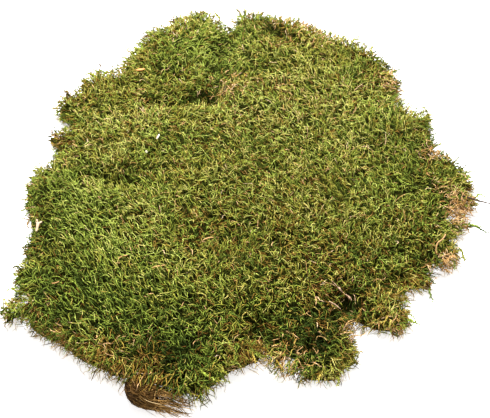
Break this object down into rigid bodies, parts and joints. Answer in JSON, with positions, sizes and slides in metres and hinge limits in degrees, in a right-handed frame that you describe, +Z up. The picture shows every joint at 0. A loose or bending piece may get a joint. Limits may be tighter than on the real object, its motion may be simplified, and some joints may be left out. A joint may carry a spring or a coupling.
{
  "type": "moss clump",
  "caption": "Torn sheet of feather moss with ragged lobes and creases, a root wad under its front rim and litter caught on top.",
  "frame": {"origin": "on the flat underside, below the middle of the whole clump's box", "axes": "+Z up out of the moss; -Y towards the front rim with the root wad; +X to the right as seen from the front"},
  "size_m": [0.4066, 0.4506, 0.0414],
  "materials": {
    "moss": "matte",
    "thatch": "matte",
    "bark": "matte",
    "twig": "matte",
    "straw": "satin",
    "leaf": "matte",
    "husk": "matte"
  },
  "bodies": {
    "root": {"moss_mat": "moss", "root_wad": "thatch", "bark_chip": "bark", "twig": "twig", "rootlet": "straw", "jointed_stem": "straw", "stem_sliver": "straw", "needle_a": "straw", "needle_b": "straw", "needle_c": "straw", "needle_d": "straw", "leaf_flake": "leaf", "husk_a": "husk", "husk_b": "husk"}
  },
  "joints": []
}
